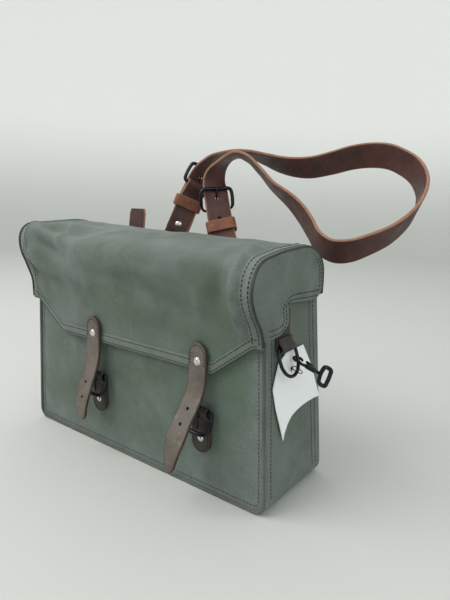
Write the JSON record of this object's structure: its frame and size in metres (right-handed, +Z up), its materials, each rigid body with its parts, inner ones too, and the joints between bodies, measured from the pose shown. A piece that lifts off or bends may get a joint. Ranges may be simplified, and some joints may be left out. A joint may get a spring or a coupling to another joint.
{
  "type": "messenger bag",
  "caption": "Canvas messenger bag with a boxed flap lid, leather strap-and-buckle closures, side rings and a leather shoulder strap.",
  "frame": {"origin": "middle of the flat underside of the gusset, where the bag stands", "axes": "+X to the right as seen from the front, +Y towards the back, +Z up"},
  "size_m": [0.418, 0.2548, 0.3426],
  "materials": {
    "canvas": "matte coated cotton canvas",
    "canvas_hem": "matte folded canvas",
    "seam_trim": "matte corded seam",
    "closure_leather": "worn satin",
    "strap_leather": "waxed satin",
    "keeper_leather": "satin",
    "black_metal": "gloss black enamel",
    "rivet_metal": "polished nickel",
    "paper": "blank paper card"
  },
  "bodies": {
    "bag_body": {"front_panel": "canvas", "back_panel": "canvas", "gusset": "canvas", "front_piping": "seam_trim", "back_piping": "seam_trim", "buckle_chape_left": "closure_leather", "buckle_chape_right": "closure_leather", "chape_rivet_left": "rivet_metal", "chape_rivet_right": "rivet_metal", "side_chape_left": "strap_leather", "side_chape_right": "strap_leather", "anchor_tab_left": "strap_leather", "anchor_tab_right": "strap_leather", "anchor_tab_stub": "strap_leather", "anchor_loop_left": "black_metal", "anchor_loop_right": "black_metal", "anchor_loop_stub": "black_metal"},
    "lid": {"flap_panel": "canvas", "flap_hem": "canvas_hem", "flap_ear_left": "canvas", "flap_ear_right": "canvas", "ear_welt_left": "seam_trim", "ear_welt_right": "seam_trim", "closure_tab_left": "closure_leather", "closure_tab_right": "closure_leather", "closure_rivet_left": "rivet_metal", "closure_rivet_right": "rivet_metal"},
    "closure_left": {"closure_strap_left": "closure_leather"},
    "closure_right": {"closure_strap_right": "closure_leather"},
    "front_buckle_left": {"buckle_frame_left": "black_metal"},
    "front_buckle_right": {"buckle_frame_right": "black_metal"},
    "front_prong_left": {"buckle_prong_left": "black_metal"},
    "front_prong_right": {"buckle_prong_right": "black_metal"},
    "ring_left": {"side_ring_left": "black_metal"},
    "ring_right": {"side_ring_right": "black_metal", "tag_thread": "paper"},
    "tag": {"tag_card": "paper"},
    "snap_hook": {"snap_hook_body": "black_metal"},
    "hook_gate": {"snap_hook_gate": "black_metal"},
    "hook_swivel": {"snap_hook_swivel": "black_metal"},
    "shoulder": {"shoulder_strap": "strap_leather", "buckle_strap_left": "strap_leather", "buckle_strap_right": "strap_leather", "shoulder_buckle_left": "black_metal", "shoulder_buckle_right": "black_metal", "shoulder_prong_left": "black_metal", "shoulder_prong_right": "black_metal", "strap_keeper_left": "keeper_leather", "strap_keeper_right": "keeper_leather", "strap_rivet_left": "rivet_metal", "strap_rivet_right": "rivet_metal"},
    "stub": {"stub_strap": "strap_leather"}
  },
  "joints": [
    {"name": "lid_hinge", "type": "hinge", "parent": "bag_body", "child": "lid", "pos_m": [0, 0.04, 0.187], "axis": [-1, 0, 0], "range_deg": [0, 105]},
    {"name": "shoulder_swing", "type": "hinge", "parent": "bag_body", "child": "shoulder", "pos_m": [0, 0.049, 0.171], "axis": [-1, 0, 0], "range_deg": [0, 105]},
    {"name": "stub_swing", "type": "hinge", "parent": "bag_body", "child": "stub", "pos_m": [-0.108, 0.049, 0.171], "axis": [-1, 0, 0], "range_deg": [0, 105]},
    {"name": "closure_left_lift", "type": "hinge", "parent": "lid", "child": "closure_left", "pos_m": [-0.0505, -0.0617, 0.124], "axis": [-1, 0, 0], "range_deg": [0, 90]},
    {"name": "front_buckle_left_flip", "type": "hinge", "parent": "bag_body", "child": "front_buckle_left", "pos_m": [-0.0505, -0.0572, 0.084], "axis": [-1, 0, 0], "range_deg": [0, 162]},
    {"name": "front_prong_left_flip", "type": "hinge", "parent": "bag_body", "child": "front_prong_left", "pos_m": [-0.0505, -0.0572, 0.084], "axis": [-1, 0, 0], "range_deg": [0, 135]},
    {"name": "closure_right_lift", "type": "hinge", "parent": "lid", "child": "closure_right", "pos_m": [0.0965, -0.0617, 0.124], "axis": [-1, 0, 0], "range_deg": [0, 90]},
    {"name": "front_buckle_right_flip", "type": "hinge", "parent": "bag_body", "child": "front_buckle_right", "pos_m": [0.0965, -0.0572, 0.084], "axis": [-1, 0, 0], "range_deg": [0, 162]},
    {"name": "front_prong_right_flip", "type": "hinge", "parent": "bag_body", "child": "front_prong_right", "pos_m": [0.0965, -0.0572, 0.084], "axis": [-1, 0, 0], "range_deg": [0, 135]},
    {"name": "ring_left_swing", "type": "hinge", "parent": "bag_body", "child": "ring_left", "pos_m": [-0.16697, -0.027, 0.1515], "axis": [0, 1, 0], "range_deg": [-15, 60]},
    {"name": "ring_right_swing", "type": "hinge", "parent": "bag_body", "child": "ring_right", "pos_m": [0.16697, -0.027, 0.1515], "axis": [0, -1, 0], "range_deg": [0, 60]},
    {"name": "tag_swing", "type": "hinge", "parent": "ring_right", "child": "tag", "pos_m": [0.1655, -0.012, 0.128], "axis": [0.9988, 0, 0.0483], "range_deg": [-12, 12]},
    {"name": "snap_hook_swing", "type": "hinge", "parent": "ring_right", "child": "snap_hook", "pos_m": [0.17176, -0.0128, 0.13834], "axis": [0.309, 0, 0.9511], "range_deg": [-35, 35]},
    {"name": "hook_gate_press", "type": "hinge", "parent": "snap_hook", "child": "hook_gate", "pos_m": [0.1865, -0.0104, 0.13355], "axis": [0.309, 0, 0.9511], "range_deg": [0, 18], "stiffness_Nm_per_rad": 0.01},
    {"name": "hook_swivel_spin", "type": "hinge", "parent": "snap_hook", "child": "hook_swivel", "pos_m": [0.19459, -0.0148, 0.13092], "axis": [0.9511, 0, -0.309], "continuous": true}
  ],
  "couplings": [
    {"joint": "shoulder_swing", "follows": "lid_hinge", "ratio": 1},
    {"joint": "stub_swing", "follows": "lid_hinge", "ratio": 1},
    {"joint": "front_buckle_left_flip", "follows": "closure_left_lift", "ratio": 1.8},
    {"joint": "front_prong_left_flip", "follows": "closure_left_lift", "ratio": 1.5},
    {"joint": "front_buckle_right_flip", "follows": "closure_right_lift", "ratio": 1.8},
    {"joint": "front_prong_right_flip", "follows": "closure_right_lift", "ratio": 1.5}
  ]
}
